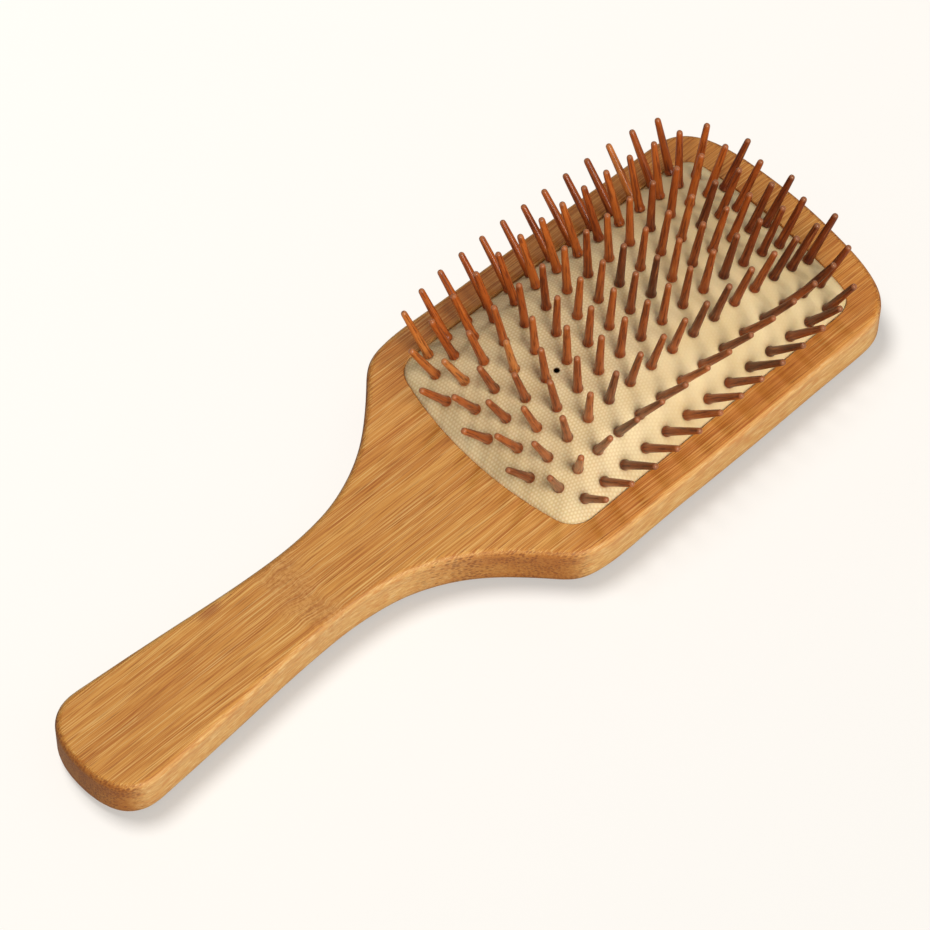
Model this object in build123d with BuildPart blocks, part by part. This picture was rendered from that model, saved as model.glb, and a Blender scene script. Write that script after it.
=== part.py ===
from build123d import *
import os

# Paddle hair brush: a laminated bamboo paddle, an air-cushioned rubber pad
# held by its lip in a routed pocket, and 127 turned wooden pins.
# Axes: +X towards the head end, +Y left, +Z out of the pin side, origin on the
# flat back face below the middle of the pad seat. All sizes in millimetres.

os.makedirs("parts", exist_ok=True)

# ---------------------------------------------------------------- paddle ----
face_ply = 4.5           # pin-side and back plies
core_ply = 5.0
body_t = 2 * face_ply + core_ply
top_round = 1.8          # rounding of the pin-side edge
back_round = 3.5         # rounding of the back edge
mouth_round = 0.4        # eased edge round the pocket mouth
butt_x = -185.3          # end of the handle
head_x = 64.2            # end of the head
# (x, half width) stations of the outline, from the head round to the butt
outline = [
    (64.0, 7.5), (63.5, 14.5), (62.7, 21.5), (61.2, 28.3), (58.2, 34.6),
    (53.2, 38.7), (46.5, 39.8), (36.3, 40.0), (13.6, 40.6), (-9.2, 41.0),
    (-32.0, 41.4), (-46.3, 41.4), (-53.7, 39.4), (-59.4, 34.3),
    (-64.8, 28.9), (-70.5, 23.9), (-76.8, 19.6), (-83.5, 16.3),
    (-90.7, 13.9), (-98.2, 12.6), (-106.0, 12.0), (-113.5, 12.0),
    (-128.5, 12.8), (-143.7, 14.1), (-158.8, 15.3), (-170.0, 16.1),
    (-176.5, 15.9), (-181.4, 13.1), (-184.4, 7.5),
]
face_seam = 16.8         # glue lines of the two face plies, either side of y=0
core_seam = 27.0         # outer glue lines of the core ply (third one at y=0)
blank_x = 200.0          # the strip blanks reach this far, past the board's ends
blank_y = 60.0           # and this far, past its sides

# ---------------------------------------------------------------- pocket ----
seat_handle_x = -54.5    # ends of the pad seat on the centre line
seat_head_x = 54.5
seat_handle_y = 33.5     # half width of the seat at its handle end
seat_head_y = 31.6       # half width of the seat at its head end
seat_handle_bow = 5.2    # bow of each end of the seat
seat_head_bow = 3.2
seat_handle_corner = 7.5
seat_head_corner = 7.0
pocket_depth = 8.5
groove_top = 2.2         # depth of the groove's upper wall below the face
groove_h = 2.0
groove_in = 1.7          # how far the groove runs under the wood
groove_z = body_t - groove_top - groove_h
mouth_tol_z = 0.01       # window that picks the edges of the pocket mouth
mouth_margin = 0.5

# --------------------------------------------------------------- cushion ----
pad_gap = 0.06           # all-round play between rubber and wood
pad_t = 1.7              # rubber thickness
lip_w = 1.5              # lip standing out into the groove
lip_t = 1.8
lip_z = groove_z + (groove_h - lip_t) / 2
dome_h = 11.8            # crown above the pin-side face
dome_half_length = 53.2  # where the dome meets the face level
dome_x = 0.6             # crown of the dome
dome_inset = 0.8         # how far inside the seat's sides it meets that level
dome_power_x = 3.2       # roundness along
dome_power_y = 4.0       # roundness across
skin_margin = 0.6        # how far the skin surfaces run past the seat
skin_steps_x = 60        # grid of points that a skin is fitted through
skin_steps_y = 40
skin_drop = 40.0         # skins are extruded down this far, then trimmed
trim_h = 30.0            # height of the prisms that trim them
air_below_lip = 1.0      # the air space opens through the underside of the pad
vent_x = -25.1
vent_r = 0.7
hole_cut_h = 8.0         # length of the cutters for vent and pin holes

# ------------------------------------------------------------ pin layout ----
pin_pitch = 7.4          # spacing along a row, middle of the pad
lattice_x = 0.6          # middle of every row
# (y, pitches from the middle of the row to its last pin)
pin_rows = [
    (-29.0, 6.0), (-22.9, 6.5), (-15.5, 7.0), (-7.85, 6.5), (0.0, 7.0),
    (7.85, 6.5), (15.5, 7.0), (22.9, 6.5), (29.0, 6.0),
]
end_squeeze = 0.051      # the outer pins of a row stand a little closer
squeeze_x = 51.4         # distance from the row's middle where that is reached
squeeze_power = 3.1
pin_lean = 0.07          # slight common lean towards the head end
end_lean = 0.13          # turned the other way again at the handle end
end_lean_x = 48.0        # distance towards the handle where end_lean is reached
end_lean_power = 4
edge_row_y = -28.0       # only the right-hand row lies beyond this
edge_stand = 0.33        # that row stands up more than its rubber
edge_fall = 0.55         # and spreads again at its handle end
edge_x = 16.0            # where the row stands up most
edge_fall_x = 58.0       # distance from there where edge_fall is reached
slope_step = 0.01        # half step for the slope of the rubber
end_pins = 5             # pins in the group at each end of a row

# ------------------------------------------------------------------- pin ----
collar_r = 1.47          # collar standing on the rubber
collar_inset = 0.22      # its underside is this much narrower
collar_z = 0.20          # the collar sits just clear of the leaning rubber face
shaft_r = 1.19           # just above the collar
tip_r = 0.86
pin_len = 16.6           # rubber face to tip end
neck_r = 0.90
neck_len = 2.05
anchor_r = 1.5           # head inside the cushion
anchor_t = 1.0
anchor_bevel = 0.35
hole_r = 0.93
# (radius, height) stations from the widest point of the collar to the shaft
collar_stations = [
    (collar_r, 0.68), (collar_r - 0.07, 1.15), (shaft_r + 0.04, 1.9), (shaft_r, 2.6),
]


# ------------------------------------------------------- shape of the dome ----
def seat_half_width(x):
    along = (x - seat_handle_x) / (seat_head_x - seat_handle_x)
    return seat_handle_y + (seat_head_y - seat_handle_y) * along


def swell(x, y, inset=0.0):
    """Height above the pin-side face of the skin lying inset below the outer one."""
    along = 1.0 - abs((x - dome_x) / (dome_half_length - inset)) ** dome_power_x
    across = 1.0 - abs(y / (seat_half_width(x) - dome_inset - inset)) ** dome_power_y
    height = (dome_h - inset) * along * across
    # beyond a corner both factors are negative, and the skin must still fall
    return -height if along < 0.0 and across < 0.0 else height


def pin_direction(x, y):
    """Normal of the rubber at (x, y), turned by the lean of the pins."""
    slope_x = (swell(x + slope_step, y) - swell(x - slope_step, y)) / (2 * slope_step)
    slope_y = (swell(x, y + slope_step) - swell(x, y - slope_step)) / (2 * slope_step)
    lean_x = pin_lean
    if x < 0:
        lean_x -= end_lean * (x / end_lean_x) ** end_lean_power
    lean_y = 0.0
    if y < edge_row_y:
        lean_y = edge_stand - edge_fall * ((x - edge_x) / edge_fall_x) ** 2
    return Vector(-slope_x + lean_x, -slope_y + lean_y, 1.0).normalized()


def skin(inset):
    """Smooth surface through the outer (0) or inner skin of the cushion."""
    grid = []
    for i in range(skin_steps_x + 1):
        x = (seat_head_x + skin_margin) * (2.0 * i / skin_steps_x - 1.0)
        line = []
        for j in range(skin_steps_y + 1):
            y = (seat_half_width(x) + skin_margin) * (2.0 * j / skin_steps_y - 1.0)
            line.append((x, y, body_t + swell(x, y, inset)))
        grid.append(line)
    return Face.make_surface_from_array_of_points(grid, tol=0.01, min_deg=3, max_deg=5)


def row_spots(row_y, half_span):
    """Planes that the pins of one row stand on, from the handle end."""
    spots = []
    for k in range(int(2 * half_span) + 1):
        even_x = (k - half_span) * pin_pitch
        squeeze = end_squeeze * abs(even_x / squeeze_x) ** squeeze_power
        x = even_x * (1.0 - squeeze) + lattice_x
        foot = Vector(x, row_y, body_t + swell(x, row_y))
        spots.append(Plane(origin=foot, z_dir=pin_direction(x, row_y)))
    return spots


# ------------------------------------------------ seat outline and board ----
with BuildSketch(Plane.XY) as seat:
    with BuildLine():
        handle_corner_x = seat_handle_x + seat_handle_bow
        head_corner_x = seat_head_x - seat_head_bow
        handle_left = (handle_corner_x, seat_handle_y)
        handle_right = (handle_corner_x, -seat_handle_y)
        head_left = (head_corner_x, seat_head_y)
        head_right = (head_corner_x, -seat_head_y)
        ThreePointArc(handle_left, (seat_handle_x, 0), handle_right)
        Line(handle_right, head_right)
        ThreePointArc(head_right, (seat_head_x, 0), head_left)
        Line(head_left, handle_left)
    make_face()
    fillet(seat.vertices().filter_by_position(Axis.X, seat_handle_x, 0),
           radius=seat_handle_corner)
    fillet(seat.vertices().filter_by_position(Axis.X, 0, seat_head_x),
           radius=seat_head_corner)

with BuildPart() as board:
    with BuildSketch(Plane.XY):
        with BuildLine():
            Spline(
                (head_x, 0), *outline, (butt_x, 0),
                *[(x, -y) for x, y in reversed(outline)],
                periodic=True,
            )
        make_face()
    extrude(amount=body_t)
    fillet(board.faces().sort_by(Axis.Z)[-1].edges(), radius=top_round)
    fillet(board.faces().sort_by(Axis.Z)[0].edges(), radius=back_round)
    # pocket for the air cushion
    with BuildSketch(Plane.XY.offset(body_t - pocket_depth)):
        add(seat.sketch)
    extrude(amount=pocket_depth, mode=Mode.SUBTRACT)
    fillet(
        board.edges().filter_by_position(Axis.Z, body_t - mouth_tol_z, body_t + mouth_tol_z)
        .filter_by(lambda edge: abs(edge.center().Y) < seat_handle_y + mouth_margin
                   and abs(edge.center().X) < seat_head_x + mouth_margin),
        radius=mouth_round,
    )
    # groove that holds the lip of the cushion
    with BuildSketch(Plane.XY.offset(groove_z)):
        add(seat.sketch)
        offset(amount=groove_in, kind=Kind.ARC)
    extrude(amount=groove_h, mode=Mode.SUBTRACT)


# --------------------------------------------------------- bamboo strips ----
def bamboo_strip(x_from, x_to, y_from, y_to, z_from, ply):
    """The part of the board that lies within one strip of one ply."""
    with BuildPart() as strip:
        add(board.part)
        with BuildSketch(Plane.XY.offset(z_from)):
            with Locations(((x_from + x_to) / 2, (y_from + y_to) / 2)):
                Rectangle(x_to - x_from, y_to - y_from)
        extrude(amount=ply, mode=Mode.INTERSECT)
    return strip.part


top_z = body_t - face_ply
# name: x from, x to, y from, y to, underside z, ply thickness
strips = {
    # pin-side ply: the pocket cuts right through it and parts the middle strip
    "top_strip_handle": (-blank_x, 0, -face_seam, face_seam, top_z, face_ply),
    "top_strip_head": (0, blank_x, -face_seam, face_seam, top_z, face_ply),
    "top_strip_left": (-blank_x, blank_x, face_seam, blank_y, top_z, face_ply),
    "top_strip_right": (-blank_x, blank_x, -blank_y, -face_seam, top_z, face_ply),
    # core ply: four strips, joints staggered against the face plies
    "core_strip_left": (-blank_x, blank_x, 0, core_seam, face_ply, core_ply),
    "core_strip_right": (-blank_x, blank_x, -core_seam, 0, face_ply, core_ply),
    "core_strip_outer_left": (-blank_x, blank_x, core_seam, blank_y, face_ply, core_ply),
    "core_strip_outer_right": (-blank_x, blank_x, -blank_y, -core_seam, face_ply, core_ply),
    # back ply
    "back_strip_middle": (-blank_x, blank_x, -face_seam, face_seam, 0, face_ply),
    "back_strip_left": (-blank_x, blank_x, face_seam, blank_y, 0, face_ply),
    "back_strip_right": (-blank_x, blank_x, -blank_y, -face_seam, 0, face_ply),
}
parts = {label: bamboo_strip(*limits) for label, limits in strips.items()}

# --------------------------------------------------------------- cushion ----
spots_by_row = [row_spots(row_y, half_span) for row_y, half_span in pin_rows]
all_spots = [spot for spots in spots_by_row for spot in spots]
outer_skin = skin(0.0)
inner_skin = skin(pad_t)

with BuildPart() as air_space:
    extrude(inner_skin, amount=skin_drop, dir=(0, 0, -1))
    with BuildSketch(Plane.XY.offset(lip_z - air_below_lip)):
        add(seat.sketch)
        offset(amount=-pad_gap - pad_t, kind=Kind.ARC)
    extrude(amount=trim_h, mode=Mode.INTERSECT)

with BuildPart() as cushion_pad:
    extrude(outer_skin, amount=skin_drop, dir=(0, 0, -1))
    with BuildSketch(Plane.XY.offset(lip_z)):
        add(seat.sketch)
        offset(amount=-pad_gap, kind=Kind.ARC)
    extrude(amount=trim_h, mode=Mode.INTERSECT)
    # lip
    with BuildSketch(Plane.XY.offset(lip_z)):
        add(seat.sketch)
        offset(amount=lip_w, kind=Kind.ARC)
    extrude(amount=lip_t)
    add(air_space.part, mode=Mode.SUBTRACT)
    with Locations(*all_spots):
        Cylinder(radius=hole_r, height=hole_cut_h, mode=Mode.SUBTRACT)
    with Locations((vent_x, 0, body_t + dome_h)):
        Cylinder(radius=vent_r, height=hole_cut_h, mode=Mode.SUBTRACT)
parts["cushion_pad"] = cushion_pad.part

# ------------------------------------------------------------------ pins ----
# turned pin: anchor head, neck through the rubber, collar, tapered shaft
anchor_z = -neck_len - anchor_t
with BuildPart() as pin:
    with BuildSketch(Plane.XZ):
        with BuildLine():
            anchor_and_neck = Polyline(
                (0, anchor_z), (anchor_r - anchor_bevel, anchor_z),
                (anchor_r, anchor_z + anchor_bevel), (anchor_r, -neck_len),
                (neck_r, -neck_len), (neck_r, collar_z), (collar_r - collar_inset, collar_z),
            )
            collar = Spline(anchor_and_neck @ 1, *collar_stations,
                            tangents=((0.6, 1), (0, 1)))
            shaft = Line(collar @ 1, (tip_r, pin_len - tip_r))
            tip = Spline(shaft @ 1, (tip_r * 0.72, pin_len - tip_r * 0.30), (0, pin_len),
                         tangents=((-0.01, 1), (-1, 0)))
            Line(tip @ 1, anchor_and_neck @ 0)
        make_face()
    revolve(axis=Axis.Z)


def pin_group(spots):
    with BuildPart() as group:
        with Locations(*spots):
            add(pin.part)
    return group.part


for row, spots in enumerate(spots_by_row, start=1):
    parts[f"pins_row_{row}_handle_end"] = pin_group(spots[:end_pins])
    parts[f"pins_row_{row}_middle"] = pin_group(spots[end_pins:-end_pins])
    parts[f"pins_row_{row}_head_end"] = pin_group(spots[-end_pins:])

# ---------------------------------------------------------------- export ----
for label, part in parts.items():
    part.label = label
    export_step(part, f"parts/{label}.step")
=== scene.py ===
"""Bamboo paddle brush: glued bamboo strips, a domed rubber air cushion, turned wooden pins.

The brush lies on its back with the pins up (+Z). The handle points to -X, the head
end to +X, and the middle of the pad is near the origin. Shapes are worked out in
millimetres and scaled to metres when their meshes are made.
"""
import math
from collections import namedtuple

import bpy
import numpy as np
from mathutils import Matrix, Vector
from mathutils.geometry import delaunay_2d_cdt


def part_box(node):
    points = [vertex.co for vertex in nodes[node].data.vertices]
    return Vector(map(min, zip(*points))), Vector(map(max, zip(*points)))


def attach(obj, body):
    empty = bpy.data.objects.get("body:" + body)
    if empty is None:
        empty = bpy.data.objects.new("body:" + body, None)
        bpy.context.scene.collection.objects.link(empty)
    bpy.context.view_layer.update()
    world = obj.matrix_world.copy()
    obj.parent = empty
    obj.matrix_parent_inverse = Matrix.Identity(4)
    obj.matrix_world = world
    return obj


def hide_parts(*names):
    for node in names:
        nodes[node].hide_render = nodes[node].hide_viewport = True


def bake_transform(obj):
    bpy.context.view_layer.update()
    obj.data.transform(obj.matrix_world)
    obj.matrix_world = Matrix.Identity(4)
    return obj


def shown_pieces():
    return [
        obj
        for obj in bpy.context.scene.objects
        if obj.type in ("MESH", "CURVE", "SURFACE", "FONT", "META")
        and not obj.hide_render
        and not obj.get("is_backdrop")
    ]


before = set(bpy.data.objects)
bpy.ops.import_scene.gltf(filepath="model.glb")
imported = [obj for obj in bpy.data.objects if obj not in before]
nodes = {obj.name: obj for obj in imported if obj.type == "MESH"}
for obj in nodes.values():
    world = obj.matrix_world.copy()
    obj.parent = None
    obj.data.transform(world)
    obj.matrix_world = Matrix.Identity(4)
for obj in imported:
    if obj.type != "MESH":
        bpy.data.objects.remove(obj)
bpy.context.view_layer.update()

MM = 0.001
scene = bpy.context.scene

# ------------------------------------------------------- shared dimensions, mm --
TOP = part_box("top_strip_left")[1][2] / MM  # pin-side face of the paddle

# the seat of the cushion narrows from the handle end to the head end
SEAT_X = (-54.5, 54.5)
SEAT_HALF_WIDTH = (33.5, 31.6)

# the dome falls from its crown as a power curve along x and across y
DOME_HEIGHT = 11.8
DOME_HALF_LENGTH = 53.2
DOME_X = 0.6
DOME_INSET = 0.8
DOME_POWER_X, DOME_POWER_Y = 3.2, 4.0

VENT_X, VENT_R = -25.1, 0.7

# pins: row place in y, number of pins in the row
ROWS = [
    (-29.0, 13), (-22.9, 14), (-15.5, 15), (-7.85, 14), (0.0, 15),
    (7.85, 14), (15.5, 15), (22.9, 14), (29.0, 13),
]
PIN_PITCH = 7.4
LATTICE_X = 0.6
END_SQUEEZE, SQUEEZE_X, SQUEEZE_POWER = 0.051, 51.4, 3.1  # rows close up towards their ends


def half_width(x):
    """Half the width of the seat at x."""
    run = SEAT_X[1] - SEAT_X[0]
    return SEAT_HALF_WIDTH[0] + (SEAT_HALF_WIDTH[1] - SEAT_HALF_WIDTH[0]) * (x - SEAT_X[0]) / run


def swell(x, y):
    """Height of the dome above TOP; negative outside it."""
    a = 1.0 - np.abs((x - DOME_X) / DOME_HALF_LENGTH) ** DOME_POWER_X
    b = 1.0 - np.abs(y / (half_width(x) - DOME_INSET)) ** DOME_POWER_Y
    return np.where((a < 0) & (b < 0), -DOME_HEIGHT * a * b, DOME_HEIGHT * a * b)


# lean added to the dome's normal, as slopes
LEAN_X = 0.07
END_LEAN, END_LEAN_X = 0.13, 48.0             # taken off towards the handle end
EDGE_ROW_Y = -28.0                            # the row beyond this stands up or falls out
EDGE_STAND, EDGE_FALL = 0.33, 0.55
EDGE_X, EDGE_SPAN = 16.0, 58.0


def pin_axis(x, y):
    """Unit direction of the pin that stands at x, y."""
    step = 0.01
    slope_x = (swell(x + step, y) - swell(x - step, y)) / (2 * step)
    slope_y = (swell(x, y + step) - swell(x, y - step)) / (2 * step)
    lean_x = LEAN_X - (END_LEAN * (x / END_LEAN_X) ** 4 if x < 0 else 0.0)
    lean_y = 0.0
    if y < EDGE_ROW_Y:
        lean_y = EDGE_STAND - EDGE_FALL * ((x - EDGE_X) / EDGE_SPAN) ** 2
    axis = np.array([-float(slope_x) + lean_x, -float(slope_y) + lean_y, 1.0])
    return axis / np.linalg.norm(axis)


def row_spots(y, count):
    """Feet of one row of pins."""
    spots = []
    for k in range(count):
        even_x = ((1 - count) / 2 + k) * PIN_PITCH
        squeeze = 1.0 - END_SQUEEZE * abs(even_x / SQUEEZE_X) ** SQUEEZE_POWER
        spots.append((even_x * squeeze + LATTICE_X, y))
    return spots


rows = [row_spots(y, count) for y, count in ROWS]
feet = np.array([spot for row in rows for spot in row])


def distance_to_feet(points):
    """Distance in plan from each point to the nearest pin."""
    nearest = np.full(len(points), 1e9)
    for x, y in feet:
        nearest = np.minimum(nearest, np.hypot(points[:, 0] - x, points[:, 1] - y))
    return nearest


# --------------------------------------------------------------- mesh helpers --
def add_object(name, data):
    obj = bpy.data.objects.new(name, data)
    scene.collection.objects.link(obj)
    return obj


def smooth_mesh(name, points, faces):
    """Smooth-shaded mesh from points in millimetres."""
    mesh = bpy.data.meshes.new(name)
    mesh.from_pydata((points * MM).tolist(), [], faces)
    mesh.validate()
    mesh.update()
    for polygon in mesh.polygons:
        polygon.use_smooth = True
    return mesh


def vertices_mm(mesh):
    flat = np.empty(len(mesh.vertices) * 3)
    mesh.vertices.foreach_get("co", flat)
    return flat.reshape(-1, 3) / MM


def add_attribute(mesh, name, values, kind="FLOAT", field="value"):
    attribute = mesh.attributes.new(name, kind, "POINT")
    attribute.data.foreach_set(field, values.astype(np.float32).ravel())


# ----------------------------------------------------------- material helper --
class Mat:
    """Builds a node material; values may be numbers, tuples or output sockets."""

    def __init__(self, name):
        self.material = bpy.data.materials.new(name)
        self.material.use_nodes = True
        self.tree = self.material.node_tree
        self.bsdf = self.tree.nodes["Principled BSDF"]

    def node(self, kind, **props):
        node = self.tree.nodes.new(kind)
        for key, value in props.items():
            setattr(node, key, value)
        return node

    def put(self, value, socket):
        if hasattr(value, "is_output"):
            self.tree.links.new(value, socket)
        else:
            socket.default_value = value

    def put_all(self, node, values):
        for key, value in values.items():
            self.put(value, node.inputs[key])

    def surface(self, values):
        self.put_all(self.bsdf, values)

    def position(self):
        """Object coordinates in millimetres."""
        return self.scaled(self.node("ShaderNodeTexCoord").outputs["Object"], 1000.0)

    def attribute(self, name, output="Fac"):
        return self.node("ShaderNodeAttribute", attribute_name=name).outputs[output]

    def scaled(self, vector, factor):
        node = self.node("ShaderNodeVectorMath", operation="SCALE")
        self.put_all(node, {0: vector, "Scale": factor})
        return node.outputs["Vector"]

    def math(self, operation, *values):
        node = self.node("ShaderNodeMath", operation=operation)
        self.put_all(node, dict(enumerate(values)))
        return node.outputs[0]

    def add(self, a, b):
        return self.math("ADD", a, b)

    def sub(self, a, b):
        return self.math("SUBTRACT", a, b)

    def mul(self, value, factor, plus=None):
        if plus is None:
            return self.math("MULTIPLY", value, factor)
        return self.math("MULTIPLY_ADD", value, factor, plus)

    def size(self, value):
        return self.math("ABSOLUTE", value)

    def split(self, vector):
        node = self.node("ShaderNodeSeparateXYZ")
        self.put(vector, node.inputs[0])
        return tuple(node.outputs)

    def join(self, x, y, z):
        node = self.node("ShaderNodeCombineXYZ")
        self.put_all(node, {0: x, 1: y, 2: z})
        return node.outputs[0]

    def noise(self, vector, detail=3.0, rough=0.55):
        node = self.node("ShaderNodeTexNoise")
        self.put_all(node, {"Vector": vector, "Scale": 1.0, "Detail": detail, "Roughness": rough})
        return node.outputs["Fac"]

    def wobble(self, vector, detail=3.0):
        """Noise centred on zero."""
        return self.sub(self.noise(vector, detail), 0.5)

    def voronoi(self, vector, output, randomness):
        node = self.node("ShaderNodeTexVoronoi")
        self.put_all(node, {"Vector": vector, "Scale": 1.0, "Randomness": randomness})
        return node.outputs[output]

    def ramp(self, factor, stops):
        node = self.node("ShaderNodeValToRGB")
        elements = node.color_ramp.elements
        while len(elements) > 1:
            elements.remove(elements[0])
        elements[0].position = stops[0][0]
        elements[0].color = (*stops[0][1], 1)
        for position, colour in stops[1:]:
            elements.new(position).color = (*colour, 1)
        self.put(factor, node.inputs[0])
        return node.outputs["Color"]

    def mask(self, value, zero, one):
        """Smooth step that is 0 at `zero` and 1 at `one`."""
        node = self.node("ShaderNodeMapRange", interpolation_type="SMOOTHSTEP")
        self.put_all(node, {"Value": value, "From Min": zero, "From Max": one})
        return node.outputs["Result"]

    def remap(self, value, source, target):
        node = self.node("ShaderNodeMapRange")
        self.put_all(node, {"Value": value, "From Min": source[0], "From Max": source[1],
                            "To Min": target[0], "To Max": target[1]})
        return node.outputs["Result"]

    def mix(self, factor, a, b, blend="MIX"):
        node = self.node("ShaderNodeMix", data_type="RGBA", blend_type=blend)
        self.put(factor, node.inputs["Factor"])
        for socket, value in ((node.inputs[6], a), (node.inputs[7], b)):
            self.put((*value, 1) if isinstance(value, tuple) else value, socket)
        return node.outputs[2]

    def tint(self, base, colour, mask, amount):
        """Mix `colour` over `base` where the mask is set."""
        return self.mix(self.mul(mask, amount), base, colour)

    def deepen(self, base, colour, mask, amount, strength=1.0):
        """Multiply `base` by `colour` where the mask is set."""
        return self.tint(base, self.mix(strength, base, colour, "MULTIPLY"), mask, amount)

    def bump(self, height, strength, distance):
        node = self.node("ShaderNodeBump")
        self.put_all(node, {"Strength": strength, "Distance": distance, "Height": height})
        return node.outputs["Normal"]


def srgb(*channels):
    """Linear colour from 0-255 sRGB channels."""
    parts = [c / 255.0 for c in channels]
    return tuple(c / 12.92 if c <= 0.04045 else ((c + 0.055) / 1.055) ** 2.4 for c in parts)


# ------------------------------------------------------------------ bamboo --
KNUCKLE_X = -113.0
KNUCKLE_WIDTH = 5.5
FLECK_X, FLECK_Y = -133.0, 10.9
FLECK_LENGTH, FLECK_WIDTH = 5.0, 1.5


def grain(m, axes, along, across, shift_x=None, shift_y=None):
    """Texture coordinates stretched along the strip; along, across: cycles per mm."""
    x, y, z = axes
    return m.join(m.mul(x, along, shift_x), m.mul(y, across, shift_y), m.mul(z, across))


def culm_axes(m, position, shift):
    """Wandering fibres, and the knuckle of the culm that bends and breaks them."""
    x, y, z = axes = m.split(position)
    wander = m.wobble(grain(m, axes, along=0.014, across=0.05, shift_y=shift), detail=2.0)
    wandered_y = m.mul(wander, 2.4, plus=y)
    jag = m.mul(m.wobble(m.scaled(position, 0.13)), 16.0)
    knuckle_dx = m.add(m.add(x, -KNUCKLE_X), jag)
    # bell curve across the knuckle
    ratio = m.size(m.math("DIVIDE", knuckle_dx, KNUCKLE_WIDTH))
    knuckle = m.math("POWER", 2.718, m.mul(m.math("POWER", ratio, 2.0), -1.0))
    swirl = m.wobble(grain(m, axes, along=0.13, across=0.15, shift_y=shift), detail=1.0)
    fibre_y = m.mul(m.mul(knuckle, swirl), 3.6, plus=wandered_y)
    return wandered_y, knuckle_dx, knuckle, fibre_y


def vascular_bundles(m, fibre_axes, shift):
    """Streak mask for the faces and dot mask for the end grain."""
    cells = grain(m, fibre_axes, along=0.09, across=1.32, shift_x=shift)
    distance = m.voronoi(cells, "Distance", randomness=0.60)
    pick = m.split(m.voronoi(cells, "Color", randomness=0.60))[0]
    streaks = m.mul(m.mask(distance, zero=0.34, one=0.12), m.mask(pick, zero=0.05, one=0.45))
    weight = m.mul(m.mask(pick, zero=0.0, one=0.5), 0.55, plus=0.45)
    dots = m.mul(m.mask(distance, zero=0.52, one=0.26), weight)
    return streaks, dots


def skin_fleck(m, x, y, z, fine):
    """Mask of a small dark fleck on top of the handle, towards its +Y edge."""
    dx = m.math("DIVIDE", m.add(x, -FLECK_X), FLECK_LENGTH)
    dy = m.math("DIVIDE", m.sub(y, FLECK_Y), FLECK_WIDTH)
    reach = m.add(m.mul(dx, dx), m.mul(dy, dy))
    ragged = m.mask(m.mul(fine, 1.6, plus=reach), zero=1.9, one=0.7)
    return m.mul(ragged, m.mask(z, zero=9.0, one=12.0))


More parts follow.
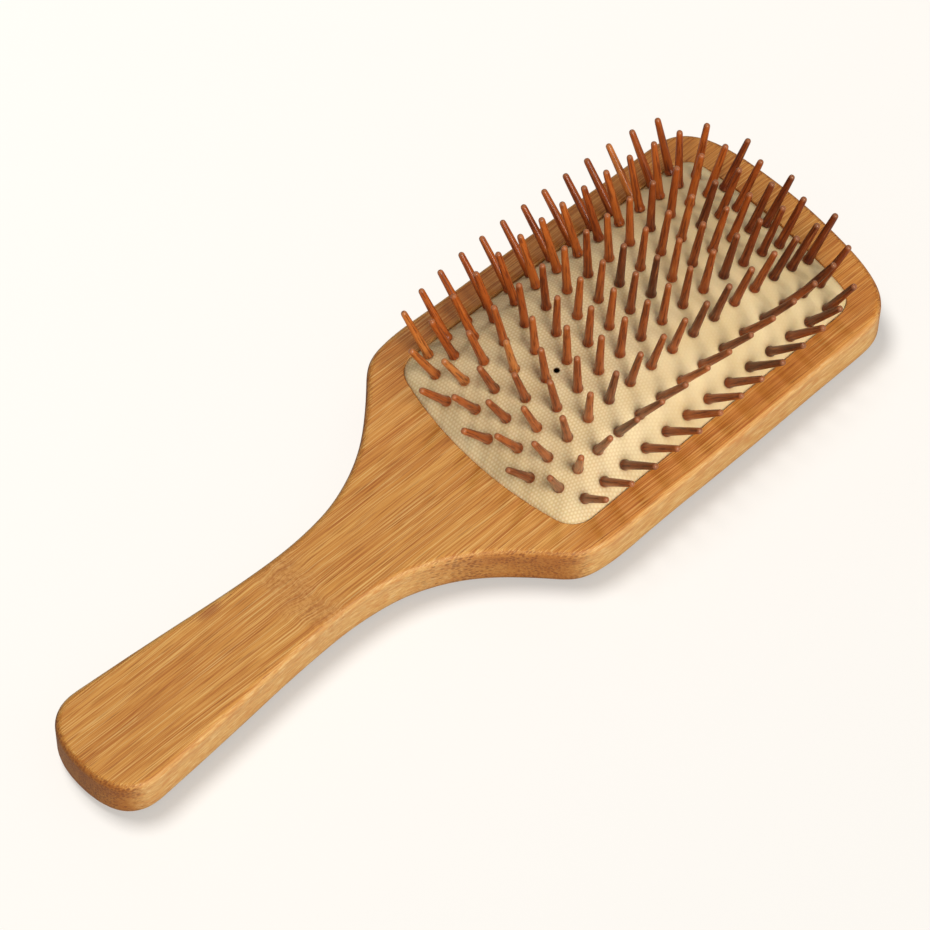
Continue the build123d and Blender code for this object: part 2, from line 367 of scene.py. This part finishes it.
def bamboo(name, seed, tone, warm, rim):
    """One strip: tone scales its value, warm shifts its hue, rim deepens its top face beside the
    pad, partly the wood's own redder tone and partly painted shade and painted reflection from the
    pins.
    """
    m = Mat(name)
    position = m.position()
    x, y, z = m.split(position)
    shift = seed * 13.7
    wandered_y, knuckle_dx, knuckle, fibre_y = culm_axes(m, position, shift)
    axes = (x, fibre_y, z)

    # fine fibres, broader bands, slow change of tone
    stretch = m.mul(knuckle, 0.05, plus=0.042)
    fine = m.noise(grain(m, (knuckle_dx, fibre_y, z), along=stretch, across=3.7, shift_y=shift),
                   detail=1.6, rough=0.5)
    finer = m.noise(grain(m, axes, along=0.09, across=5.6, shift_x=shift, shift_y=shift),
                    detail=1.0, rough=0.5)
    bands = m.noise(grain(m, axes, along=0.016, across=1.15, shift_x=shift), rough=0.6)
    slow = m.noise(grain(m, axes, along=0.010, across=0.14, shift_y=shift), detail=2.0)
    streaks, dots = vascular_bundles(m, axes, shift)

    # which way the surface faces
    normal_x, normal_y, normal_z = m.split(m.node("ShaderNodeNewGeometry").outputs["Normal"])
    end = m.mask(m.size(normal_x), zero=0.20, one=0.80)
    side = m.mul(m.mask(m.size(normal_y), zero=0.45, one=0.85), m.sub(1.0, end))
    along = m.sub(1.0, m.mul(end, 0.75))

    colour = m.ramp(m.add(m.mul(bands, 0.58), m.mul(slow, 0.42)), [
        (0.30, srgb(174, 108, 42)), (0.42, srgb(195, 130, 55)), (0.52, srgb(206, 144, 66)),
        (0.62, srgb(215, 158, 79)), (0.74, srgb(226, 176, 98))])
    # dark, darker and pale fibres: noise, mask limits, strength, colour
    for fibres, zero, one, strength, shade in (
        (fine, 0.45, 0.37, 0.58, srgb(164, 90, 30)),
        (finer, 0.43, 0.33, 0.50, srgb(146, 74, 24)),
        (fine, 0.55, 0.66, 0.60, srgb(232, 190, 116)),
    ):
        colour = m.tint(colour, shade, m.mul(m.mask(fibres, zero, one), strength), along)
    colour = m.tint(colour, srgb(120, 62, 24), streaks, amount=m.mul(side, 0.14, plus=0.26))

    # knuckle band: flecked with pale and dark spots
    blots = m.noise(m.scaled(position, 1.1), rough=0.6)
    band = m.mix(m.mask(blots, zero=0.40, one=0.60), srgb(158, 98, 44), srgb(204, 150, 88))
    colour = m.tint(colour, band, knuckle, amount=0.42)
    fleck = skin_fleck(m, x, wandered_y, z, fine)
    colour = m.tint(colour, srgb(140, 66, 24), fleck, amount=0.60)

    # sides: paler, with dark and light flecks
    colour = m.tint(colour, srgb(234, 190, 124), side, amount=0.50)
    flecks = m.noise(grain(m, axes, along=0.22, across=1.3, shift_x=shift), detail=2.0, rough=0.6)
    dark_flecks = m.mul(side, m.mask(flecks, zero=0.50, one=0.62))
    colour = m.tint(colour, srgb(196, 116, 52), dark_flecks, amount=0.42)
    light_flecks = m.mul(side, m.mask(flecks, zero=0.45, one=0.34))
    colour = m.tint(colour, srgb(244, 210, 150), light_flecks, amount=0.40)

    # end grain: darker, with the bundles as dots
    colour = m.deepen(colour, srgb(196, 150, 108), end, amount=0.66, strength=0.9)
    end_dots = m.mul(dots, m.mask(m.size(normal_x), zero=0.20, one=0.50))
    colour = m.tint(colour, srgb(128, 70, 30), end_dots, amount=0.66)

    # painted shade: flanks that face +Y, away from the key light, are darker
    far_flank_shade = m.mul(m.mask(normal_y, zero=0.30, one=0.80),
                  m.mask(m.size(normal_z), zero=0.85, one=0.40))
    colour = m.deepen(colour, srgb(176, 160, 150), far_flank_shade, amount=0.80)
    if rim:
        # top face beside the pad: redder and deeper, partly the wood's own tone and partly painted
        # shade and painted reflection from the pins
        face = m.mul(m.mask(normal_z, zero=0.80, one=0.98), m.mask(x, zero=-58.0, one=-38.0))
        colour = m.deepen(colour, srgb(236, 208, 176), face, amount=rim)

    adjust = m.node("ShaderNodeHueSaturation")
    m.put_all(adjust, {"Hue": 0.5 + warm, "Saturation": 1.0, "Value": tone, "Color": colour})

    # bundles are sunk, fine fibres and pores stand proud
    relief = m.mul(m.math("MAXIMUM", streaks, m.mul(dots, end)), -0.9, plus=fine)
    relief = m.mul(m.noise(m.scaled(position, 3.2)), 0.25, plus=relief)
    rough = m.remap(fine, source=(0.35, 0.65), target=(0.56, 0.46))
    m.surface({
        "Base Color": adjust.outputs["Color"],
        "Roughness": m.mul(end, 0.12, plus=rough),
        "Specular IOR Level": 0.36,
        "Normal": m.bump(relief, strength=0.40, distance=0.00008),
    })
    return m.material


# strip: seed, tone, warm, rim (top face beside the pad deepened, partly the wood's tone and partly
# painted shade and reflection from the pins)
STRIPS = {
    "top_strip_handle": (1, 1.00, 0.000, 0.0),
    "top_strip_head": (1, 0.99, -0.001, 0.4),
    "top_strip_left": (4, 1.00, -0.002, 0.6),
    "top_strip_right": (6, 1.02, -0.001, 0.6),
    "core_strip_left": (8, 1.02, 0.001, 0.0),
    "core_strip_right": (10, 1.03, 0.001, 0.0),
    "core_strip_outer_left": (12, 1.00, 0.000, 0.0),
    "core_strip_outer_right": (14, 1.04, 0.001, 0.0),
    "back_strip_middle": (16, 0.99, -0.001, 0.0),
    "back_strip_left": (18, 1.01, 0.000, 0.0),
    "back_strip_right": (20, 1.00, -0.001, 0.0),
}
for name, look in STRIPS.items():
    slots = nodes[name].data.materials
    material = bamboo("bamboo_" + name, *look)
    slots.clear()
    slots.append(material)


# ----------------------------------------------------------- rubber cushion --
def rubber():
    m = Mat("cushion_rubber")
    position = m.position()
    x, y, _ = m.split(position)

    # moulded cloth pattern: staggered raised dots a little under 1 mm apart
    wobble = m.mul(m.wobble(m.scaled(position, 0.08), detail=2.0), 1.0)
    weave_x = m.add(x, wobble)
    weave_y = m.sub(y, wobble)
    wave_x, wave_y = math.tau * 0.56, math.tau * 1.10  # radians per mm of the slanted waves
    waves = m.math("COSINE", m.mul(weave_x, 2 * wave_x))
    for slant in ("ADD", "SUBTRACT"):
        phase = m.math(slant, m.mul(weave_x, wave_x), m.mul(weave_y, wave_y))
        waves = m.add(waves, m.math("COSINE", phase))
    weave = m.mul(waves, 0.2222, plus=0.3333)  # three waves brought to 0..1

    # towards the -Y side and the head end the weave shows less under this light and focus: its bump
    # and its painted shade and highlight fade out, and the rubber is glossier there
    weave_fade = m.mask(m.mul(y, -0.75, plus=x), zero=-24.0, one=20.0)
    depth = m.mul(weave_fade, -0.86, plus=1.0)

    mottle = m.noise(m.scaled(position, 0.07))
    colour = m.mix(m.mask(mottle, zero=0.3, one=0.7), srgb(227, 202, 152), srgb(236, 214, 167))
    # painted shade in the hollows of the weave and painted highlight on its raised dots
    weave_hollow_shade = m.mask(weave, zero=0.40, one=0.02)
    colour = m.tint(colour, srgb(196, 162, 110), weave_hollow_shade, amount=m.mul(depth, 0.34))
    weave_peak_highlight = m.mask(weave, zero=0.42, one=0.90)
    colour = m.tint(colour, srgb(246, 234, 202), weave_peak_highlight, amount=m.mul(depth, 0.42))
    specks = m.mask(m.noise(m.scaled(position, 2.2), detail=2.0), zero=0.58, one=0.75)
    colour = m.tint(colour, srgb(176, 140, 90), specks, amount=0.12)
    # painted shade inside the vent
    colour = m.tint(colour, srgb(96, 54, 28), m.attribute("vent_shade"), amount=0.95)
    colour = m.tint(colour, srgb(170, 122, 68), m.attribute("foot_shade"), amount=0.42)
    m.surface({
        "Base Color": colour,
        "Roughness": m.remap(weave_fade, source=(0.0, 1.0), target=(0.56, 0.40)),
        "Specular IOR Level": 0.38,
        "Subsurface Weight": 0.12,
        "Subsurface Radius": (1.0, 0.6, 0.3),
        "Subsurface Scale": 0.0012,
        "Normal": m.bump(m.mul(weave, depth), strength=0.45, distance=0.00009),
    })
    return m.material


PAD_SIDE, SIDE_SLACK = 2.2, 0.05          # CAD points above this depth give the outline
RIM_POINTS = 560
FILL_STEP, RIM_GAP = 0.66, 0.45           # hexagonal fill and its distance from the rim
RING_POINTS = 20
PIN_HOLE_R = 0.95
PIN_RINGS = (0.0, 0.28, 0.62, 1.05)       # mesh rings round a hole, beyond its radius
VENT_RINGS = (0.0, 0.3)
PIN_CLEAR = 2.35                          # no fill points nearer to a pin
VENT_CLEAR = PIN_CLEAR * 0.55
SKIN_THICKNESS = 1.5
SKIRT_DROPS, SKIRT_FLOOR = (0.8, 1.6), 3.4

# a hole is square to its axis, so in plan it is an ellipse, `squash` times as
# long along `lean` as across it
Hole = namedtuple("Hole", "x y radius rings clear lean squash")


def make_hole(x, y, radius, rings, clear, axis):
    plan = np.array([axis[0], axis[1]])
    length = np.hypot(*plan)
    lean = plan / length if length > 1e-6 else np.array([1.0, 0.0])
    return Hole(x, y, radius, rings, clear, lean, axis[2])


def hull(points):
    """Counter-clockwise convex hull."""
    ordered = sorted(set(map(tuple, np.round(points, 4))))

    def chain(sequence):
        kept = []
        for p in sequence:
            while len(kept) > 1:
                a, b = kept[-2:]
                if (b[0] - a[0]) * (p[1] - a[1]) - (b[1] - a[1]) * (p[0] - a[0]) > 0:
                    break
                kept.pop()
            kept.append(p)
        return kept

    return np.array(chain(ordered)[:-1] + chain(reversed(ordered))[:-1])


def resample(loop, count):
    """Evenly spaced points round a closed loop."""
    closed = np.vstack([loop, loop[:1]])
    travel = np.r_[0, np.cumsum(np.hypot(*np.diff(closed, axis=0).T))]
    stops = np.linspace(0, travel[-1], count + 1)[:-1]
    return np.stack([np.interp(stops, travel, closed[:, axis]) for axis in (0, 1)], 1)


def inside(loop, points, margin):
    """True for points at least margin inside a convex counter-clockwise loop."""
    result = np.ones(len(points), bool)
    for a, b in zip(loop, np.roll(loop, -1, axis=0)):
        edge = b - a
        cross = edge[0] * (points[:, 1] - a[1]) - edge[1] * (points[:, 0] - a[0])
        result &= (cross / np.hypot(*edge)) > margin
    return result


def fill_points(loop, holes):
    """Hexagonal grid clear of the rim and the holes."""
    x, y = np.meshgrid(np.arange(-56, 56, FILL_STEP),
                       np.arange(-35, 35, FILL_STEP * math.sqrt(3) / 2))
    x[1::2] += FILL_STEP / 2
    fill = np.stack([x.ravel(), y.ravel()], 1)
    keep = inside(loop, fill, RIM_GAP)
    for hole in holes:
        keep &= np.hypot(fill[:, 0] - hole.x, fill[:, 1] - hole.y) > hole.clear
    return fill[keep]


def ring_points(hole, index):
    """One ring round a hole; every other ring is turned by half a step."""
    angle = np.arange(RING_POINTS) * 2 * math.pi / RING_POINTS
    angle = angle + (math.pi / RING_POINTS) * (index % 2)
    radius = hole.radius + hole.rings[index]
    u = np.cos(angle) * hole.squash * radius
    v = np.sin(angle) * radius
    lean = hole.lean
    return np.stack([hole.x + u * lean[0] - v * lean[1], hole.y + u * lean[1] + v * lean[0]], 1)


def closed_edges(start, count):
    return [(start + i, start + (i + 1) % count) for i in range(count)]


def triangulate(loop, holes):
    """Plan of the skin: points and counter-clockwise triangles, holes left open."""
    parts = [fill_points(loop, holes)]
    edges = []
    start = len(parts[0])
    for hole in holes:
        edges += closed_edges(start, RING_POINTS)
        for index in range(len(hole.rings)):
            parts.append(ring_points(hole, index))
            start += RING_POINTS
    parts.append(loop)
    edges += closed_edges(start, len(loop))
    inside_constraints = 1
    result = delaunay_2d_cdt([Vector(p) for p in np.vstack(parts).tolist()], edges, [],
                             inside_constraints, 1e-5)
    plan = np.array([tuple(p) for p in result[0]])
    triangles = np.array([f for f in result[2] if len(f) == 3])
    centres = plan[triangles].mean(axis=1)
    open_ = np.zeros(len(triangles), bool)
    for hole in holes:
        offset = centres - np.array([hole.x, hole.y])
        u = (offset @ hole.lean) / (hole.squash * hole.radius)
        v = (offset @ np.array([-hole.lean[1], hole.lean[0]])) / hole.radius
        open_ |= (u * u + v * v) < 0.97
    triangles = triangles[~open_]
    a, b, c = (plan[triangles[:, i]] for i in range(3))
    flipped = np.cross(b - a, c - a) < 0
    triangles[flipped] = triangles[flipped][:, ::-1]
    return plan, triangles


def skin_height(plan, to_rim):
    """Dome height with a pucker at each pin, uneven moulding and a tucked rim."""
    x, y = plan.T
    to_pin = distance_to_feet(plan)
    z = swell(x, y)
    z = z + 0.10 * np.exp(-(to_pin / 1.55) ** 2) - 0.10 * np.exp(-((to_pin - 2.9) / 1.1) ** 2)
    fade = np.clip((z + 1.0) / 3.0, 0, 1)
    z = z + fade * 0.05 * (np.sin(x * 0.31 + 1.3) * np.sin(y * 0.37 + 0.4)
                           + 0.6 * np.sin(x * 0.83 + y * 0.61))
    return z - 0.55 * np.exp(-(to_rim / 0.75) ** 2) * np.clip((z + 1.2) / 1.2, 0, 1)


def add_skirt(points, faces, rim):
    """Turn the rim down into the pocket."""
    upper = rim
    count = len(rim)
    rings = [points]
    for level, drop in enumerate(SKIRT_DROPS):
        ring = points[rim]
        ring[:, 2] = np.maximum(np.minimum(ring[:, 2], TOP) - drop, TOP - SKIRT_FLOOR)
        rings.append(ring)
        first = len(points) + level * count
        lower = list(range(first, first + count))
        for i in range(count):
            after = (i + 1) % count
            faces.append((upper[i], lower[i], lower[after], upper[after]))
        upper = lower
    return np.vstack(rings)


def thicken(obj):
    """Give the skin its thickness, inwards, and bake it into the mesh."""
    solidify = obj.modifiers.new("rubber", "SOLIDIFY")
    solidify.thickness = SKIN_THICKNESS * MM
    solidify.offset = -1.0
    solidify.use_even_offset = True
    solidify.thickness_clamp = 1.0
    evaluated = obj.evaluated_get(bpy.context.evaluated_depsgraph_get())
    mesh = bpy.data.meshes.new_from_object(evaluated)
    obj.modifiers.clear()
    obj.data = mesh
    return mesh


def build_cushion():
    pad = vertices_mm(nodes["cushion_pad"].data)
    loop = resample(hull(pad[pad[:, 2] > TOP - PAD_SIDE - SIDE_SLACK][:, :2]), RIM_POINTS)
    holes = [make_hole(x, y, PIN_HOLE_R, PIN_RINGS, PIN_CLEAR, pin_axis(x, y)) for x, y in feet]
    holes.append(make_hole(VENT_X, 0.0, VENT_R, VENT_RINGS, VENT_CLEAR, (0.0, 0.0, 1.0)))
    plan, triangles = triangulate(loop, holes)

    to_rim = np.full(len(plan), 1e9)
    rim = []
    for x, y in loop:
        distance = np.hypot(plan[:, 0] - x, plan[:, 1] - y)
        rim.append(int(np.argmin(distance)))
        to_rim = np.minimum(to_rim, distance)
    points = np.c_[plan, TOP + skin_height(plan, to_rim)]
    faces = [tuple(map(int, f)) for f in triangles]
    points = add_skirt(points, faces, rim)
    skin = add_object("air_cushion_skin", smooth_mesh("cushion_skin", points, faces))
    mesh = thicken(skin)

    # painted shade inside the vent, and painted shade and reflection of the pins round the foot of
    # each pin
    points = vertices_mm(mesh)
    to_vent = np.hypot(points[:, 0] - VENT_X, points[:, 1])
    below_surface = points[:, 2] < TOP + DOME_HEIGHT - 0.35
    add_attribute(mesh, "vent_shade", np.clip(1.0 - (to_vent - VENT_R) / 0.12, 0, 1) * below_surface)
    from_foot = (distance_to_feet(points) - 0.9).clip(0)
    add_attribute(mesh, "foot_shade", np.exp(-(from_foot / 0.75) ** 2))
    mesh.materials.append(rubber())
    return skin


cushion = build_cushion()
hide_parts("cushion_pad")
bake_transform(cushion)


# -------------------------------------------------------------------- pins --
def pin_wood():
    m = Mat("pin_wood")
    x, y, z = m.split(m.attribute("local", "Vector"))
    streak = m.noise(m.join(m.mul(x, 1.9), m.mul(y, 1.9), m.mul(z, 0.14)), rough=0.6)
    patch = m.wobble(m.join(m.mul(x, 0.5), m.mul(y, 0.5), m.mul(z, 0.22)), detail=2.0)
    colour = m.ramp(m.add(m.attribute("tone"), m.mul(patch, 0.35)), [
        (0.0, srgb(88, 38, 14)), (0.3, srgb(130, 58, 19)), (0.55, srgb(166, 80, 26)),
        (0.8, srgb(190, 101, 38)), (1.0, srgb(212, 134, 64))])
    dark = m.mask(streak, zero=0.50, one=0.38)
    colour = m.deepen(colour, srgb(112, 62, 38), dark, amount=0.70, strength=0.9)
    pale = m.mask(streak, zero=0.58, one=0.72)
    colour = m.tint(colour, srgb(222, 142, 70), pale, amount=0.34)
    # darker on the collar and just above it
    collar = m.mask(z, zero=3.4, one=1.6)
    colour = m.deepen(colour, srgb(140, 80, 52), collar, amount=0.40, strength=0.9)
    # painted highlight: the tips are made paler
    tip = m.mask(z, zero=15.4, one=16.4)
    colour = m.tint(colour, srgb(178, 122, 84), tip, amount=0.50)
    m.surface({
        "Base Color": colour,
        "Roughness": m.remap(streak, source=(0.3, 0.7), target=(0.46, 0.34)),
        "Specular IOR Level": 0.30,
        "Coat Weight": 0.30,
        "Coat Roughness": 0.12,
        "Coat Tint": (1.0, 0.90, 0.78, 1),
        "Normal": m.bump(streak, strength=0.40, distance=0.00007),
    })
    return m.material


FOOT_R, SHAFT_R, TIP_R, PIN_LENGTH = 1.47, 1.19, 0.86, 16.6
NECK_R, NECK_LENGTH = 0.90, 2.05
ANCHOR_R, ANCHOR_THICKNESS, ANCHOR_BEVEL = 1.5, 1.0, 0.35
COLLAR_Z = 0.20
TAPER_Z = 2.6
TAPER = (SHAFT_R - TIP_R) / (PIN_LENGTH - TIP_R - TAPER_Z)
ANCHOR_Z = -NECK_LENGTH - ANCHOR_THICKNESS
# radius, height above the rubber
PROFILE = [
    # anchor under the rubber, and the neck through it
    (0.0, ANCHOR_Z), (ANCHOR_R - ANCHOR_BEVEL, ANCHOR_Z), (ANCHOR_R, ANCHOR_Z + ANCHOR_BEVEL),
    (ANCHOR_R, -NECK_LENGTH - 0.02), (NECK_R + 0.05, -NECK_LENGTH),
    (NECK_R, -NECK_LENGTH + 0.08), (NECK_R, COLLAR_Z - 0.05),
    # collar
    (FOOT_R - 0.24, COLLAR_Z), (FOOT_R - 0.10, COLLAR_Z + 0.07), (FOOT_R - 0.02, 0.44),
    (FOOT_R, 0.70), (FOOT_R - 0.02, 0.95), (FOOT_R - 0.08, 1.20), (FOOT_R - 0.17, 1.50),
    (SHAFT_R + 0.055, 1.85), (SHAFT_R + 0.02, 2.2), (SHAFT_R, TAPER_Z),
    # tapered shaft
    *[(SHAFT_R - TAPER * (z - TAPER_Z), z) for z in (4.5, 7.0, 9.5, 12.0, 14.2, 15.2)],
    # rounded tip
    (TIP_R - 0.005, 15.75), (TIP_R * 0.93, 16.05), (TIP_R * 0.80, 16.28),
    (TIP_R * 0.60, 16.46), (TIP_R * 0.34, 16.57), (0.0, PIN_LENGTH),
]
SEGMENTS = 24
UNEVEN_Z = 1.0  # pins vary in girth above this height
END_PINS = 5    # pins of each row in its handle_end and head_end pieces


def lathe(seed):
    """One hand-turned pin with a slight bend, out of round."""
    random = np.random.RandomState(seed)
    bend = random.uniform(-0.10, 0.10, 2)
    oval = random.uniform(-0.02, 0.02)
    oval_angle = random.uniform(0, math.pi)
    girth = 1.0 + random.uniform(-0.025, 0.025)
    angle = np.arange(SEGMENTS) * 2 * math.pi / SEGMENTS
    points, faces, rings = [], [], []
    for radius, z in PROFILE:
        rise = max(z, 0.0) / PIN_LENGTH
        shift_x, shift_y = bend * rise * rise
        if radius == 0.0:
            rings.append([len(points)])
            points.append((shift_x, shift_y, z))
            continue
        if z > UNEVEN_Z:
            radius = radius * girth * (1 + oval * np.cos(2 * (angle - oval_angle)))
        rings.append(list(range(len(points), len(points) + SEGMENTS)))
        ring_x = radius * np.cos(angle) + shift_x
        ring_y = radius * np.sin(angle) + shift_y
        points += [(x, y, z) for x, y in zip(ring_x, ring_y)]
    for low, high in zip(rings, rings[1:]):
        for i in range(SEGMENTS):
            after = (i + 1) % SEGMENTS
            if len(low) == 1:
                faces.append((low[0], high[after], high[i]))
            elif len(high) == 1:
                faces.append((low[i], low[after], high[0]))
            else:
                faces.append((low[i], low[after], high[after], high[i]))
    return np.array(points), faces


def stand(points, x, y, spin):
    """Place a pin on the dome, turned by spin about its own axis."""
    axis = pin_axis(x, y)
    across = np.array([1.0, 0, 0]) - axis * axis[0]
    across /= np.linalg.norm(across)
    other = np.cross(axis, across)
    c, s = math.cos(spin), math.sin(spin)
    across, other = c * across + s * other, -s * across + c * other
    foot = np.array([x, y, TOP + float(swell(x, y))])
    return foot + points[:, :1] * across + points[:, 1:2] * other + points[:, 2:] * axis


def pin_tone(x, y):
    """Stain tone 0..1: paler towards +Y and the handle as painted light on the far and handle-end
    pins, with odd dark and pale pins.
    """
    # the rise towards +Y and towards the handle is painted light; the random spread and the odd
    # pins are the stain's own
    tone = 0.50 + 0.16 * (y / 29.0) - 0.12 * (x / 49.0) + rng.uniform(-0.20, 0.20)
    if rng.uniform() < 0.08:
        tone -= 0.22
    if rng.uniform() < 0.10:
        tone += 0.22
    return min(max(tone, 0.02), 0.98)


def pin_group(name, spots, first_seed):
    """Mesh of several pins with their tones and their own coordinates."""
    points, faces, tones, local = [], [], [], []
    start = 0
    for seed, (x, y) in enumerate(spots, start=first_seed):
        pin, pin_faces = lathe(seed)
        points.append(stand(pin, x, y, spin=rng.uniform(0, 2 * math.pi)))
        faces += [tuple(i + start for i in face) for face in pin_faces]
        start += len(pin)
        tones.append(np.full(len(pin), pin_tone(x, y)))
        local.append(pin + np.array([rng.uniform(0, 60), rng.uniform(0, 60), 0.0]))
    mesh = smooth_mesh(name, np.vstack(points), faces)
    add_attribute(mesh, "tone", np.concatenate(tones))
    add_attribute(mesh, "local", np.vstack(local), kind="FLOAT_VECTOR", field="vector")
    return mesh


rng = np.random.RandomState(812)
pin_material = pin_wood()
next_seed = 1001
for row, spots in enumerate(rows, start=1):
    for part, group in (("handle_end", spots[:END_PINS]), ("middle", spots[END_PINS:-END_PINS]),
                        ("head_end", spots[-END_PINS:])):
        mesh = pin_group(f"pins_{row}_{part}", group, next_seed)
        next_seed += len(group)
        mesh.materials.append(pin_material)
        pins = add_object(f"turned_pins_row_{row}_{part}", mesh)
        node = f"pins_row_{row}_{part}"
        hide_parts(node)
        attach(pins, node)


# ---------------------------------------------------------- stage, in metres --
def floor_paper():
    m = Mat("floor_paper")
    cloud = m.noise(m.scaled(m.position(), 0.02), detail=2.0)
    seen = m.node("ShaderNodeLightPath").outputs["Is Camera Ray"]
    m.surface({
        "Base Color": m.mix(cloud, (0.425, 0.413, 0.392), (0.431, 0.419, 0.398)),
        "Roughness": 1.0,
        "Specular IOR Level": 0.0,
        "Emission Color": (1.0, 0.966, 0.913, 1),
        # glows more to the camera than onto the brush
        "Emission Strength": m.mul(seen, 0.41, plus=0.09),
    })
    return m.material


FLOOR_HALF, FLOOR_Z = 4, -0.0003
corners = [(x * FLOOR_HALF, y * FLOOR_HALF, FLOOR_Z)
           for x, y in ((-1, -1), (1, -1), (1, 1), (-1, 1))]
floor_mesh = bpy.data.meshes.new("floor")
floor_mesh.from_pydata(corners, [], [(0, 1, 2, 3)])
floor = add_object("floor", floor_mesh)
floor_mesh.materials.append(floor_paper())
floor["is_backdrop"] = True

world = scene.world or bpy.data.worlds.new("studio")
scene.world = world
world.use_nodes = True
background = world.node_tree.nodes["Background"]
background.inputs["Color"].default_value = (1.0, 0.975, 0.935, 1)
background.inputs["Strength"].default_value = 0.24


def area(name, position, target, size, watts, color, receivers):
    """Disk light that falls only on the receivers."""
    data = bpy.data.lights.new(name, "AREA")
    data.shape = "DISK"
    data.size = size
    data.energy = watts
    data.color = color
    light = add_object(name, data)
    light.location = position
    aim = Vector(target) - Vector(position)
    light.rotation_euler = aim.to_track_quat("-Z", "Y").to_euler()
    light.light_linking.receiver_collection = receivers


def collection(name, objects):
    result = bpy.data.collections.new(name)
    for obj in objects:
        result.objects.link(obj)
    return result


brush_only = collection("brush_only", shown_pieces())
floor_only = collection("floor_only", [floor])
# the paper's own light comes from +Y, so the shadow falls to the -Y side
area("paper_light", position=(-0.21, 0.84, 2.5), target=(-0.03, 0.0, 0.0), size=1.10,
     watts=72.0, color=(1.0, 0.99, 0.985), receivers=floor_only)
# key from -Y and a weak top light from +Y, on the brush alone
area("key", position=(-0.20, -0.92, 1.00), target=(-0.03, 0.0, 0.01), size=0.80,
     watts=17.0, color=(1.0, 0.955, 0.89), receivers=brush_only)
area("top_light", position=(0.22, 0.42, 1.10), target=(-0.02, 0.0, 0.01), size=0.22,
     watts=2.2, color=(1.0, 0.97, 0.93), receivers=brush_only)

lens = bpy.data.cameras.new("camera")
camera = add_object("camera", lens)
lens.sensor_width = 36.0
lens.sensor_fit = "HORIZONTAL"
lens.lens = 193.05
lens.clip_start = 0.01
lens.clip_end = 20.0
camera_right = (0.735221, -0.677745, 0.010618)
camera_up = (0.569555, 0.626197, 0.532432)
camera_back = (-0.367501, -0.385407, 0.846406)
turn = Matrix((camera_right, camera_up, camera_back)).transposed()
camera.matrix_world = Matrix.Translation((-0.52124, -0.48731, 1.08327)) @ turn.to_4x4()
scene.camera = camera
scene.view_settings.view_transform = "Standard"
